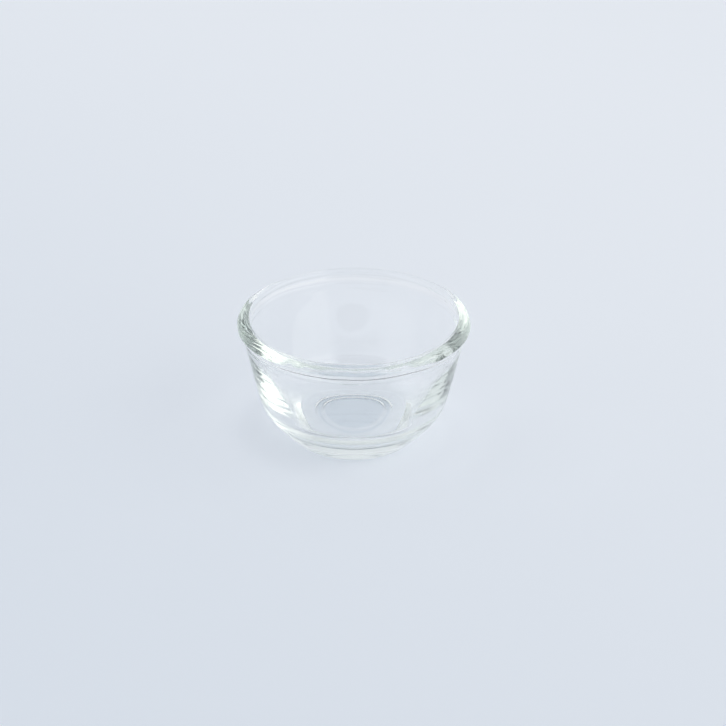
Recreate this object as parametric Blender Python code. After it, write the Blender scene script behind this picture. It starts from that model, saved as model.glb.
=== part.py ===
"""Small pressed-glass bowl with a thick collar round its rim.

The bowl is one body of clear glass, turned about its upright axis. It is 70 mm across the
collar and 39.5 mm tall. The collar overhangs the outside wall, and a small bead runs round
the mouth inside it. The wall narrows almost straight from the collar to a knee, thickening as
it goes, and then sweeps in to a thick base. The bowl stands on a flat ring, inside which the
underside is sunk in two shallow steps.

Units are millimetres in the dimensions below and metres in the mesh. +Z is up, and the
origin is on the axis, at the level of the resting ring.
"""

import math

import bpy

MM = 0.001

# Overall size
COLLAR_RADIUS = 35.0
HEIGHT = 39.5

# Collar: its rounded lip, which starts as a bead inside the mouth, then an outer side made of
# two quarter ellipses that meet where the collar is widest, then a fillet into the wall
MOUTH_RADIUS = 31.0
LIP_ROUND = 0.9
BEAD_START = 240.0
BEAD_FOOT = (31.5, 36.9)
COLLAR_CENTRE_RADIUS = 32.4
COLLAR_WIDEST_HEIGHT = 37.1
COLLAR_UPPER_HEIGHT = 2.4
COLLAR_LOWER_HEIGHT = 2.0
COLLAR_UNDERSIDE_END = -40.0
FILLET_REACH = 1.0

# Outside wall: the ring under the collar, the knee and the heel, each as radius and height
NECK = (33.2, 33.5)
KNEE = (28.2, 12.6)
HEEL = (19.2, 1.0)

# Inside wall and floor
INNER_KNEE = (24.4, 13.8)
FLOOR_RADIUS = 13.0
FLOOR_HEIGHT = 7.6

# Underside: the resting ring and the two sunk steps inside it
RING_OUTER_RADIUS = 17.3
RING_INNER_RADIUS = 13.0
OUTER_STEP_DEPTH = 0.3
INNER_STEP_RADIUS = 10.5
INNER_STEP_DEPTH = 0.25
STEP_SLOPE = 0.8

# Facets round the axis
SEGMENTS = 64

GLASS_COLOUR = (0.86, 0.92, 0.90, 1.0)
GLASS_ROUGHNESS = 0.02
GLASS_IOR = 1.52


def arc(centre, radii, start, end, steps):
    """Points on an arc of an ellipse, with its start and end angles in degrees."""
    points = []
    for step in range(steps + 1):
        angle = math.radians(start + (end - start) * step / steps)
        radius = centre[0] + radii[0] * math.cos(angle)
        height = centre[1] + radii[1] * math.sin(angle)
        points.append((radius, height))
    return points


def curve(start, start_handle, end_handle, end, steps):
    """Points on a cubic curve, without its first point."""
    points = []
    for step in range(1, steps + 1):
        t = step / steps
        u = 1.0 - t
        weights = (u * u * u, 3.0 * u * u * t, 3.0 * u * t * t, t * t * t)
        handles = (start, start_handle, end_handle, end)
        radius = sum(weight * handle[0] for weight, handle in zip(weights, handles))
        height = sum(weight * handle[1] for weight, handle in zip(weights, handles))
        points.append((radius, height))
    return points


def inside_profile():
    """From the middle of the floor out and up to the mouth."""
    points = [(0.0, FLOOR_HEIGHT), (FLOOR_RADIUS, FLOOR_HEIGHT)]
    # The knee's slope is shared by the floor's corner below it and the wall above it
    points += curve(
        points[-1],
        (FLOOR_RADIUS + 7.6, FLOOR_HEIGHT),
        (INNER_KNEE[0] - 1.3, INNER_KNEE[1] - 3.4),
        INNER_KNEE,
        8,
    )
    points += curve(
        INNER_KNEE,
        (INNER_KNEE[0] + 1.3, INNER_KNEE[1] + 3.4),
        (BEAD_FOOT[0] - 1.3, BEAD_FOOT[1] - 8.8),
        BEAD_FOOT,
        6,
    )
    return points


def collar_profile():
    """Over the lip, across the top, round the outside and in under the collar."""
    lip_centre = (MOUTH_RADIUS + LIP_ROUND, HEIGHT - LIP_ROUND)
    points = arc(lip_centre, (LIP_ROUND, LIP_ROUND), BEAD_START, 90.0, 5)
    centre = (COLLAR_CENTRE_RADIUS, COLLAR_WIDEST_HEIGHT)
    half_width = COLLAR_RADIUS - COLLAR_CENTRE_RADIUS
    points += arc(centre, (half_width, COLLAR_UPPER_HEIGHT), 84.0, 0.0, 5)
    points += arc(centre, (half_width, COLLAR_LOWER_HEIGHT), 0.0, COLLAR_UNDERSIDE_END, 4)[1:]
    # The fillet leaves the underside along its own slope
    fillet_start = points[-1]
    slope_radius = half_width * math.sin(math.radians(COLLAR_UNDERSIDE_END))
    slope_height = -COLLAR_LOWER_HEIGHT * math.cos(math.radians(COLLAR_UNDERSIDE_END))
    slope_length = math.hypot(slope_radius, slope_height)
    first_handle = (
        fillet_start[0] + FILLET_REACH * slope_radius / slope_length,
        fillet_start[1] + FILLET_REACH * slope_height / slope_length,
    )
    points += curve(fillet_start, first_handle, (NECK[0], NECK[1] + FILLET_REACH), NECK, 3)
    return points


def outside_profile():
    """From under the collar down to the knee, the heel and the resting ring."""
    points = curve(NECK, (NECK[0] - 1.7, NECK[1] - 7.0), (KNEE[0] + 1.0, KNEE[1] + 2.9), KNEE, 6)
    points += curve(KNEE, (KNEE[0] - 1.25, KNEE[1] - 3.6), (HEEL[0] + 4.3, HEEL[1] + 4.2), HEEL, 6)
    ring_edge = (RING_OUTER_RADIUS, 0.0)
    points += curve(HEEL, (HEEL[0] - 0.5, HEEL[1] - 0.5), (ring_edge[0] + 0.9, 0.0), ring_edge, 3)
    return points


def underside_profile():
    """From the resting ring up over the two sunk steps to the middle."""
    inner_depth = OUTER_STEP_DEPTH + INNER_STEP_DEPTH
    return [
        (RING_INNER_RADIUS, 0.0),
        (RING_INNER_RADIUS - STEP_SLOPE, OUTER_STEP_DEPTH),
        (INNER_STEP_RADIUS, OUTER_STEP_DEPTH),
        (INNER_STEP_RADIUS - STEP_SLOPE, inner_depth),
        (0.0, inner_depth),
    ]


def glass_material():
    """Clear pressed glass with a faint grey-green cast."""
    material = bpy.data.materials.new("clear_glass")
    material.use_nodes = True
    shader = material.node_tree.nodes["Principled BSDF"]
    shader.inputs["Base Color"].default_value = GLASS_COLOUR
    shader.inputs["Roughness"].default_value = GLASS_ROUGHNESS
    shader.inputs["Metallic"].default_value = 0.0
    shader.inputs["IOR"].default_value = GLASS_IOR
    shader.inputs["Transmission Weight"].default_value = 1.0
    return material


def turned_body(name, profile, material):
    """A closed solid from a half profile that starts and ends on the axis."""
    vertices = [(radius * MM, 0.0, height * MM) for radius, height in profile]
    edges = [(index, index + 1) for index in range(len(vertices) - 1)]
    mesh = bpy.data.meshes.new(name)
    mesh.from_pydata(vertices, edges, [])
    mesh.materials.append(material)
    body = bpy.data.objects.new(name, mesh)
    bpy.context.scene.collection.objects.link(body)
    screw = body.modifiers.new("Turn", "SCREW")
    screw.axis = "Z"
    screw.angle = 2.0 * math.pi
    screw.steps = SEGMENTS
    screw.render_steps = SEGMENTS
    screw.use_merge_vertices = True
    screw.merge_threshold = 0.00001
    screw.use_smooth_shade = True
    return body


def main():
    """Clear the scene and make the bowl."""
    for old in list(bpy.data.objects):
        bpy.data.objects.remove(old)
    profile = inside_profile() + collar_profile() + outside_profile() + underside_profile()
    turned_body("glass_bowl", profile, glass_material())


main()
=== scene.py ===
"""Looks of the small pressed-glass bowl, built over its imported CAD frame."""

import math
import random

import bpy
import numpy as np
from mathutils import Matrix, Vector


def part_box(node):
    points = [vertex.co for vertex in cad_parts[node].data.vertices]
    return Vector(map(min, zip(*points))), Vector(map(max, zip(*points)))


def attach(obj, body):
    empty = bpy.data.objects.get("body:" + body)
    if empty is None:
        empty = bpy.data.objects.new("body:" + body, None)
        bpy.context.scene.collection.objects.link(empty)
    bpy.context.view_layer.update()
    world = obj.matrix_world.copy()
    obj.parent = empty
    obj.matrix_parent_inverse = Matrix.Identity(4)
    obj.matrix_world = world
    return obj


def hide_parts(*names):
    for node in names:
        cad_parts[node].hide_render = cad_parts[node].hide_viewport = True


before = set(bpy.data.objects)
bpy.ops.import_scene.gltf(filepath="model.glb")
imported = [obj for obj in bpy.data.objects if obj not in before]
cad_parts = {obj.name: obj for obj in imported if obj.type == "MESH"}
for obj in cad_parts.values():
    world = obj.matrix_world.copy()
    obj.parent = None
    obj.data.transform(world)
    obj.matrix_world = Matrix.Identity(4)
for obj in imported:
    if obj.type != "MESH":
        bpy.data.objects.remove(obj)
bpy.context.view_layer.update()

MM = 0.001
NODE = "glass_bowl"

# ---------------------------------------------------------------- the bowl's section, in mm
node_low, node_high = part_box(NODE)
COLLAR_RADIUS = node_high.x / MM
HEIGHT = node_high.z / MM
MOUTH_RADIUS = 31.0
LIP_ROUND = 0.9
BEAD_FOOT = (31.5, 36.9)
BEAD_START = 240.0
BEAD_REACH = 0.4
COLLAR_CENTRE_RADIUS = 32.4
COLLAR_WIDEST_HEIGHT = 37.1
COLLAR_UPPER_HEIGHT = 2.4
COLLAR_LOWER_HEIGHT = 2.0
COLLAR_UNDERSIDE_END = -40.0
FILLET_REACH = 1.0
NECK = (33.2, 33.5)
KNEE = (28.2, 12.6)
HEEL = (19.2, 1.0)
INNER_KNEE = (24.4, 13.8)
FLOOR_RADIUS = 13.0
FLOOR_HEIGHT = 7.6
RING_OUTER_RADIUS = 17.3
RING_INNER_RADIUS = 13.0
OUTER_STEP_DEPTH = 0.3
INNER_STEP_RADIUS = 10.5
INNER_STEP_DEPTH = 0.25
STEP_SLOPE = 0.8
OUTER_FLAT = (RING_INNER_RADIUS - STEP_SLOPE + INNER_STEP_RADIUS) / 2.0

# The fine line that the mould's bottom plate leaves round the lower wall
SEAM_HEIGHT = 7.85
SEAM_HALF_WIDTH = 0.2
SEAM_TALL = 0.03
# Painted shade: the half height and colour of a dark line along the seam on the front of the wall,
# standing in for the dark line the glass's refraction draws there
SEAM_SHADE_HALF_HEIGHT = 0.5
SEAM_SHADE = (0.08, 0.10, 0.13, 1.0)

# Roughness of the sunk disc and of the resting ring's scuffs, and the depth of the disc's grain
DISC_FROST = 0.22
RING_SCUFF = 0.35
DISC_GRAIN = 0.01
# The grey laid on the sunk disc, painted shade for the shadow on the table under the base, and the
# clear glass's colour
DISC_SHADE = (0.85, 0.885, 0.915, 1.0)
CLEAR = (1.0, 1.0, 1.0, 1.0)
# Painted shade in the disc's steps, for the dark reflections they show at the far side, and the
# share of the way to the back at which it starts and is full
STEP_SHADE = (0.42, 0.46, 0.50, 1.0)
STEP_SHADE_FROM = -0.2
STEP_SHADE_FULL = 0.6

GLASS_IOR = 1.52
TINT = (0.915, 0.95, 0.915, 1.0)
TINT_DENSITY = 16.0

SEGMENTS = 288
# The hand-finished collar's waviness, as heights of long, short and fine waves, and the share
# of it that the moulded wall has
WAVE_LONG = 0.05
WAVE_SHORT = 0.045
WAVE_FINE = 0.011
WALL_SHARE = 0.5
COLLAR_FROM = 32.0

# ---------------------------------------------------------------- the view of the photograph
CAMERA_ELEVATION = 27.8
CAMERA_DISTANCE = 0.9
FRAME_PIXELS = 726.0
PIXELS_PER_METRE = 3308.6
AXIS_LEFT_OF_MIDDLE = 9.1 / FRAME_PIXELS
AIM_HEIGHT = 0.0185
AIM_BELOW_MIDDLE = 14.45 / FRAME_PIXELS
SENSOR = 36.0

# ---------------------------------------------------------------- the floor
FLOOR_SIZE = 8.0
FLOOR_GAP = 0.0001
FLOOR_ROUGHNESS = 0.6
# The table's colour is painted light and shade: darker near the front left, lighter far towards the
# back right, for how the room's light falls
FLOOR_PAINTED_SHADE = (0.80, 0.84, 0.90, 1.0)
FLOOR_PAINTED_LIGHT = (0.93, 0.945, 0.98, 1.0)
FLOOR_FADE_WAY = (0.7, 0.7, 0.0)
FLOOR_FADE_REACH = 0.30

# ---------------------------------------------------------------- the room's light
ROOM = (0.80, 0.83, 0.87, 1.0)
ROOM_STRENGTH = 1.08
# Azimuth of the middle from +X, half width, lowest and highest elevation, softness of the
# edges, all in degrees, and colour
PATCHES = (
    # The bright side window, brightest towards its top
    (-22.0, 38.0, -3.0, 51.0, 5.0, (1.42, 1.44, 1.42, 1.0)),
    (-28.0, 26.0, 30.0, 50.0, 5.0, (1.80, 1.82, 1.78, 1.0)),
    # The dark far edge of the room, and the duller wall above it
    (100.0, 45.0, 9.0, 40.0, 8.0, (0.70, 0.73, 0.77, 1.0)),
    (90.0, 38.0, -3.0, 8.0, 3.0, (0.06, 0.08, 0.11, 1.0)),
    (168.0, 12.0, 29.0, 41.0, 3.0, (0.06, 0.07, 0.09, 1.0)),
    # The photographer's side
    (-101.0, 34.0, 13.0, 43.0, 4.0, (0.03, 0.04, 0.05, 1.0)),
    # The ceiling, duller over the photographer
    (105.0, 91.0, 62.0, 92.0, 6.0, (0.74, 0.77, 0.81, 1.0)),
    (-75.0, 91.0, 60.0, 92.0, 6.0, (0.45, 0.48, 0.52, 1.0)),
)


def arc(centre, radii, start, end, steps):
    """Points on an arc of an ellipse, with its start and end angles in degrees."""
    points = []
    for step in range(steps + 1):
        angle = math.radians(start + (end - start) * step / steps)
        radius = centre[0] + radii[0] * math.cos(angle)
        height = centre[1] + radii[1] * math.sin(angle)
        points.append((radius, height))
    return points


def curve(start, start_handle, end_handle, end, steps):
    """Points on a cubic curve, without its first point."""
    points = []
    for step in range(1, steps + 1):
        t = step / steps
        u = 1.0 - t
        weights = (u * u * u, 3.0 * u * u * t, 3.0 * u * t * t, t * t * t)
        handles = (start, start_handle, end_handle, end)
        radius = sum(weight * handle[0] for weight, handle in zip(weights, handles))
        height = sum(weight * handle[1] for weight, handle in zip(weights, handles))
        points.append((radius, height))
    return points


def rounded(corners, radius, steps):
    """A line through the corners, with each inner corner rounded."""
    points = [corners[0]]
    for before, corner, after in zip(corners[:-2], corners[1:-1], corners[2:]):
        back = Vector(before) - Vector(corner)
        ahead = Vector(after) - Vector(corner)
        reach = min(radius, 0.45 * back.length, 0.45 * ahead.length)
        first = Vector(corner) + back.normalized() * reach
        last = Vector(corner) + ahead.normalized() * reach
        points.append(tuple(first))
        points += curve(tuple(first), corner, corner, tuple(last), steps)
    points.append(corners[-1])
    return points


def seamed(points):
    """The lower wall's line with the mould's seam as a fine ridge across it."""
    for index, (before, after) in enumerate(zip(points, points[1:])):
        if before[1] > SEAM_HEIGHT >= after[1]:
            break
    middle = (Vector(before) + Vector(after)) / 2.0
    ahead = (Vector(after) - Vector(before)).normalized()
    out = Vector((-ahead[1], ahead[0]))
    ridge = []
    for step in range(-3, 4):
        share = step / 3.0
        tall = SEAM_TALL * math.cos(0.5 * math.pi * share) ** 2
        ridge.append(tuple(middle + ahead * SEAM_HALF_WIDTH * share + out * tall))
    return points[: index + 1] + ridge + points[index + 1 :]


def section():
    """The closed half section from the middle of the floor round to the middle of the base."""
    inside = [(0.0, FLOOR_HEIGHT)]
    inside += [(FLOOR_RADIUS * step / 10.0, FLOOR_HEIGHT) for step in range(1, 11)]
    inside += curve(
        (FLOOR_RADIUS, FLOOR_HEIGHT),
        (FLOOR_RADIUS + 7.6, FLOOR_HEIGHT),
        (INNER_KNEE[0] - 1.3, INNER_KNEE[1] - 3.4),
        INNER_KNEE,
        36,
    )
    inside += curve(
        INNER_KNEE,
        (INNER_KNEE[0] + 1.3, INNER_KNEE[1] + 3.4),
        (BEAD_FOOT[0] - 1.3, BEAD_FOOT[1] - 8.8),
        BEAD_FOOT,
        44,
    )
    bead_angle = math.radians(BEAD_START)
    bead = (
        MOUTH_RADIUS + LIP_ROUND + LIP_ROUND * math.cos(bead_angle),
        HEIGHT - LIP_ROUND + LIP_ROUND * math.sin(bead_angle),
    )
    inside += curve(
        BEAD_FOOT,
        (BEAD_FOOT[0] + 0.07, BEAD_FOOT[1] + 0.45),
        (
            bead[0] - BEAD_REACH * math.sin(bead_angle),
            bead[1] + BEAD_REACH * math.cos(bead_angle),
        ),
        bead,
        10,
    )
    lip_centre = (MOUTH_RADIUS + LIP_ROUND, HEIGHT - LIP_ROUND)
    centre = (COLLAR_CENTRE_RADIUS, COLLAR_WIDEST_HEIGHT)
    half_width = COLLAR_RADIUS - COLLAR_CENTRE_RADIUS
    collar = arc(lip_centre, (LIP_ROUND, LIP_ROUND), BEAD_START, 95.0, 18)[1:]
    collar += arc(centre, (half_width, COLLAR_UPPER_HEIGHT), 86.0, 0.0, 26)
    collar += arc(centre, (half_width, COLLAR_LOWER_HEIGHT), 0.0, COLLAR_UNDERSIDE_END, 16)[1:]
    start = collar[-1]
    slope_radius = half_width * math.sin(math.radians(COLLAR_UNDERSIDE_END))
    slope_height = -COLLAR_LOWER_HEIGHT * math.cos(math.radians(COLLAR_UNDERSIDE_END))
    slope = FILLET_REACH / math.hypot(slope_radius, slope_height)
    handle = (start[0] + slope * slope_radius, start[1] + slope * slope_height)
    collar += curve(start, handle, (NECK[0], NECK[1] + FILLET_REACH), NECK, 10)
    outside = curve(NECK, (NECK[0] - 1.7, NECK[1] - 7.0), (KNEE[0] + 1.0, KNEE[1] + 2.9), KNEE, 36)
    outside += seamed(
        curve(KNEE, (KNEE[0] - 1.25, KNEE[1] - 3.6), (HEEL[0] + 4.3, HEEL[1] + 4.2), HEEL, 32)
    )
    ring_edge = (RING_OUTER_RADIUS, 0.0)
    outside += curve(HEEL, (HEEL[0] - 0.5, HEEL[1] - 0.5), (ring_edge[0] + 0.9, 0.0), ring_edge, 8)
    inner_depth = OUTER_STEP_DEPTH + INNER_STEP_DEPTH
    under = rounded(
        [
            ring_edge,
            (RING_INNER_RADIUS, 0.0),
            (RING_INNER_RADIUS - STEP_SLOPE, OUTER_STEP_DEPTH),
            (INNER_STEP_RADIUS, OUTER_STEP_DEPTH),
            (INNER_STEP_RADIUS - STEP_SLOPE, inner_depth),
            (0.0, inner_depth),
        ],
        0.3,
        4,
    )[1:]
    return inside + collar + outside + under


def waves(seed, amount, lobes, length, count, angles, along):
    """A smooth random swell over the angle round the axis and the distance along the section."""
    source = random.Random(seed)
    swell = np.zeros((len(along), len(angles)))
    for _ in range(count):
        lobe = source.randint(lobes[0], lobes[1])
        pitch = source.uniform(-1.0, 1.0) * 2.0 * math.pi / length
        phase = source.uniform(0.0, 2.0 * math.pi)
        swell += np.cos(lobe * angles[None, :] + pitch * along[:, None] + phase)
    return swell * amount / math.sqrt(count)


def turned(name, points, segments):
    """A closed mesh turned about Z from a half section that starts and ends on the axis."""
    rings = len(points) - 2
    outline = np.array(points)
    steps = np.linalg.norm(np.diff(outline, axis=0), axis=1)
    along = np.concatenate([[0.0], np.cumsum(steps)])[1:-1]
    slope = np.gradient(outline, axis=0)[1:-1]
    slope /= np.linalg.norm(slope, axis=1)[:, None]
    # The section runs outwards and up inside the bowl, so the glass is on its right, and
    # this normal points into the air
    normal = np.stack([-slope[:, 1], slope[:, 0]], axis=1)
    angles = np.arange(segments) * 2.0 * math.pi / segments
    radii = outline[1:-1, 0]
    heights = outline[1:-1, 1]
    collar = np.clip((heights - COLLAR_FROM) / 3.0, 0.0, 1.0)[:, None]
    swell = waves(3, WAVE_LONG, (2, 7), 40.0, 7, angles, along)
    swell *= WALL_SHARE + (1.0 - WALL_SHARE) * collar
    ripple = waves(5, WAVE_SHORT, (6, 22), 9.0, 12, angles, along)
    ripple += waves(8, WAVE_FINE, (18, 48), 3.5, 16, angles, along)
    swell += ripple * collar
    # The resting ring and the middle of the floor stay true
    calm = np.clip((radii - FLOOR_RADIUS) / 6.0, 0.0, 1.0) * np.clip(heights / 3.0, 0.0, 1.0)
    swell *= calm[:, None]
    x = (radii[:, None] + normal[:, :1] * swell) * np.cos(angles)[None, :] * MM
    y = (radii[:, None] + normal[:, :1] * swell) * np.sin(angles)[None, :] * MM
    z = (heights[:, None] + normal[:, 1:] * swell) * MM
    # The waves stand a little proud, so the whole is eased back to its true size
    x *= COLLAR_RADIUS * MM / np.abs(x).max()
    y *= COLLAR_RADIUS * MM / np.abs(y).max()
    z *= HEIGHT * MM / z.max()
    co = np.stack([x, y, z], axis=2).reshape(-1, 3)
    vertices = [tuple(v) for v in co]
    top = len(vertices)
    vertices.append((0.0, 0.0, points[0][1] * MM))
    vertices.append((0.0, 0.0, points[-1][1] * MM))
    faces = []
    for ring in range(rings - 1):
        for k in range(segments):
            n = (k + 1) % segments
            faces.append(
                (
                    ring * segments + k,
                    ring * segments + n,
                    (ring + 1) * segments + n,
                    (ring + 1) * segments + k,
                )
            )
    last = (rings - 1) * segments
    for k in range(segments):
        n = (k + 1) % segments
        faces.append((top, n, k))
        faces.append((top + 1, last + k, last + n))
    mesh = bpy.data.meshes.new(name)
    mesh.from_pydata(vertices, [], [tuple(reversed(f)) for f in faces])
    mesh.update()
    mesh.shade_smooth()
    body = bpy.data.objects.new(name, mesh)
    bpy.context.scene.collection.objects.link(body)
    return body


def node_helpers(tree):
    """Functions that add a maths node, a smooth ramp and a colour blend to a node tree."""
    nodes, links = tree.nodes, tree.links

    def feed(value, socket):
        if isinstance(value, bpy.types.NodeSocket):
            links.new(value, socket)
        else:
            socket.default_value = value

    def math_node(operation, first, second=0.0):
        node = nodes.new("ShaderNodeMath")
        node.operation = operation
        feed(first, node.inputs[0])
        feed(second, node.inputs[1])
        return node.outputs[0]

    def ramp(value, low, high, bottom=0.0, top=1.0):
        node = nodes.new("ShaderNodeMapRange")
        node.interpolation_type = "SMOOTHSTEP"
        feed(value, node.inputs["Value"])
        feed(low, node.inputs["From Min"])
        feed(high, node.inputs["From Max"])
        feed(bottom, node.inputs["To Min"])
        feed(top, node.inputs["To Max"])
        return node.outputs["Result"]

    def blend(share, first, second):
        node = nodes.new("ShaderNodeMix")
        node.data_type = "RGBA"
        feed(share, node.inputs["Factor"])
        feed(first, node.inputs[6])
        feed(second, node.inputs[7])
        return node.outputs[2]

    return math_node, ramp, blend


def glass():
    """Clear pressed glass: a faint cast, a frosted sunk disc, a scuffed ring, and painted shade on
    the disc, in its steps and along the seam.
    """
    material = bpy.data.materials.new("clear_pressed_glass")
    material.use_nodes = True
    nodes, links = material.node_tree.nodes, material.node_tree.links
    shader = nodes["Principled BSDF"]
    shader.inputs["Transmission Weight"].default_value = 1.0
    shader.inputs["IOR"].default_value = GLASS_IOR
    math_node, ramp, blend = node_helpers(material.node_tree)

    def noise(scale, detail):
        node = nodes.new("ShaderNodeTexNoise")
        links.new(place, node.inputs["Vector"])
        node.inputs["Scale"].default_value = scale
        node.inputs["Detail"].default_value = detail
        return node.outputs["Fac"]

    place = nodes.new("ShaderNodeTexCoord").outputs["Object"]
    split = nodes.new("ShaderNodeSeparateXYZ")
    links.new(place, split.inputs[0])
    x, y, height = split.outputs
    across = math_node("MULTIPLY", x, x)
    across = math_node("SQRT", math_node("ADD", across, math_node("MULTIPLY", y, y)))
    underside = ramp(height, 2.5 * MM, 1.5 * MM)
    # Both flats of the sunk disc are frosted, and the slopes between them are polished
    step_foot = INNER_STEP_RADIUS - STEP_SLOPE
    inner_flat = ramp(across, (step_foot - 0.1) * MM, (step_foot - 0.5) * MM)
    outer_flat = math_node("ABSOLUTE", math_node("SUBTRACT", across, OUTER_FLAT * MM))
    outer_flat = ramp(outer_flat, 0.65 * MM, 0.35 * MM)
    disc = math_node("MULTIPLY", math_node("ADD", inner_flat, outer_flat), underside)
    ring = ramp(height, 0.08 * MM, 0.02 * MM)

    frost = ramp(noise(900.0, 3.0), 0.35, 0.75, DISC_FROST * 0.6, DISC_FROST)
    scuffs = ramp(noise(2600.0, 4.0), 0.45, 0.70, 0.02, RING_SCUFF)
    roughness = math_node("MULTIPLY", disc, frost)
    roughness = math_node("ADD", roughness, math_node("MULTIPLY", ring, scuffs))
    links.new(roughness, shader.inputs["Roughness"])

    # The seam's painted shade, a dark line standing in for the one the glass's refraction draws
    # there, lies on the outside wall only, and thins out round the bowl
    seam = math_node("ABSOLUTE", math_node("SUBTRACT", height, SEAM_HEIGHT * MM))
    seam = ramp(seam, SEAM_SHADE_HALF_HEIGHT * MM, 0.0)
    outside = ramp(across, (KNEE[0] - 4.2) * MM, (KNEE[0] - 3.6) * MM)
    facing = ramp(math_node("DIVIDE", y, across), -0.55, -0.90)
    # The painted dark line is a little thinner in places
    patchy = ramp(noise(160.0, 2.0), 0.25, 0.5, 0.6, 1.0)
    seam_shade = math_node("MULTIPLY", math_node("MULTIPLY", seam, outside), facing)
    seam_shade = math_node("MULTIPLY", seam_shade, patchy)
    colour = blend(seam_shade, CLEAR, SEAM_SHADE)
    # The sunk disc is greyed: painted shade for the shadow on the table under the base
    colour = blend(disc, colour, DISC_SHADE)

    # Painted shade lies in the disc's steps, more towards the back, for the dark reflections they
    # show there
    recess = ramp(across, RING_INNER_RADIUS * MM, (RING_INNER_RADIUS - 0.2) * MM)
    recess = math_node("MULTIPLY", underside, recess)
    steps = ramp(math_node("SUBTRACT", recess, disc), 0.2, 0.8)
    behind = ramp(math_node("DIVIDE", y, across), STEP_SHADE_FROM, STEP_SHADE_FULL)
    colour = blend(math_node("MULTIPLY", steps, behind), colour, STEP_SHADE)
    links.new(colour, shader.inputs["Base Color"])

    bump = nodes.new("ShaderNodeBump")
    links.new(math_node("MULTIPLY", disc, noise(1100.0, 2.0)), bump.inputs["Height"])
    bump.inputs["Distance"].default_value = DISC_GRAIN * MM
    links.new(bump.outputs["Normal"], shader.inputs["Normal"])

    tint = nodes.new("ShaderNodeVolumeAbsorption")
    tint.inputs["Color"].default_value = TINT
    tint.inputs["Density"].default_value = TINT_DENSITY
    links.new(tint.outputs[0], nodes["Material Output"].inputs["Volume"])
    return material


def floor():
    """The plain pale table, with painted light and shade: a little lighter towards the back right,
    darker towards the front left.
    """
    bpy.ops.mesh.primitive_plane_add(size=FLOOR_SIZE)
    table = bpy.context.object
    table.name = "table"
    material = bpy.data.materials.new("pale_table")
    material.use_nodes = True
    nodes, links = material.node_tree.nodes, material.node_tree.links
    _, ramp, blend = node_helpers(material.node_tree)
    shader = nodes["Principled BSDF"]
    place = nodes.new("ShaderNodeTexCoord").outputs["Object"]
    along = nodes.new("ShaderNodeVectorMath")
    along.operation = "DOT_PRODUCT"
    links.new(place, along.inputs[0])
    along.inputs[1].default_value = FLOOR_FADE_WAY
    # Painted light and shade: the table is lighter towards the back right and darker towards the
    # front left
    share = ramp(along.outputs["Value"], -FLOOR_FADE_REACH, FLOOR_FADE_REACH)
    links.new(blend(share, FLOOR_PAINTED_SHADE, FLOOR_PAINTED_LIGHT), shader.inputs["Base Color"])
    shader.inputs["Roughness"].default_value = FLOOR_ROUGHNESS
    shader.inputs["Specular IOR Level"].default_value = 0.0
    table.data.materials.append(material)
    table.location.z = -FLOOR_GAP


def surroundings():
    """A pale room: a bright side window, and darker parts behind the camera and at the back left."""
    world = bpy.data.worlds.new("room")
    bpy.context.scene.world = world
    world.use_nodes = True
    nodes, links = world.node_tree.nodes, world.node_tree.links
    math_node, ramp, blend = node_helpers(world.node_tree)
    way = nodes.new("ShaderNodeTexCoord").outputs["Generated"]
    split = nodes.new("ShaderNodeSeparateXYZ")
    links.new(way, split.inputs[0])
    height = math_node("ARCSINE", split.outputs[2])
    colour = ROOM
    for azimuth, half_width, low, high, soft, patch in PATCHES:
        turn = math.radians(azimuth)
        ahead = math_node(
            "ADD",
            math_node("MULTIPLY", split.outputs[0], math.cos(turn)),
            math_node("MULTIPLY", split.outputs[1], math.sin(turn)),
        )
        aside = math_node(
            "SUBTRACT",
            math_node("MULTIPLY", split.outputs[1], math.cos(turn)),
            math_node("MULTIPLY", split.outputs[0], math.sin(turn)),
        )
        away = math_node("ABSOLUTE", math_node("ARCTAN2", aside, ahead))
        edge = math.radians(soft)
        wide = math.radians(half_width)
        across = ramp(away, wide + edge, wide - edge)
        above = ramp(height, math.radians(low) - edge, math.radians(low) + edge)
        below = ramp(height, math.radians(high) + edge, math.radians(high) - edge)
        share = math_node("MULTIPLY", across, math_node("MULTIPLY", above, below))
        colour = blend(share, colour, patch)
    background = nodes["Background"]
    links.new(colour, background.inputs["Color"])
    background.inputs["Strength"].default_value = ROOM_STRENGTH


def camera():
    """The photograph's viewpoint, with a small shift for its framing."""
    data = bpy.data.cameras.new("camera")
    viewer = bpy.data.objects.new("camera", data)
    bpy.context.scene.collection.objects.link(viewer)
    elevation = math.radians(CAMERA_ELEVATION)
    back = Vector((0.0, -math.cos(elevation), math.sin(elevation)))
    viewer.location = Vector((0.0, 0.0, AIM_HEIGHT)) + back * CAMERA_DISTANCE
    viewer.rotation_mode = "QUATERNION"
    viewer.rotation_quaternion = (-back).to_track_quat("-Z", "Y")
    data.sensor_width = SENSOR
    data.lens = SENSOR * CAMERA_DISTANCE * PIXELS_PER_METRE / FRAME_PIXELS
    data.shift_x = AXIS_LEFT_OF_MIDDLE
    data.shift_y = AIM_BELOW_MIDDLE
    data.clip_end = 20.0
    bpy.context.scene.camera = viewer


scene = bpy.context.scene
scene.view_settings.view_transform = "Standard"
# Light runs far round the thick collar before it leaves the glass
scene.cycles.max_bounces = 128
scene.cycles.transmission_bounces = 128
scene.cycles.glossy_bounces = 128
scene.cycles.diffuse_bounces = 16
scene.cycles.blur_glossy = 0.0

bowl = turned("bowl_glass", section(), SEGMENTS)
bowl.data.materials.append(glass())
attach(bowl, "root")
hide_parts(NODE)

floor()
surroundings()
camera()

bpy.context.view_layer.update()
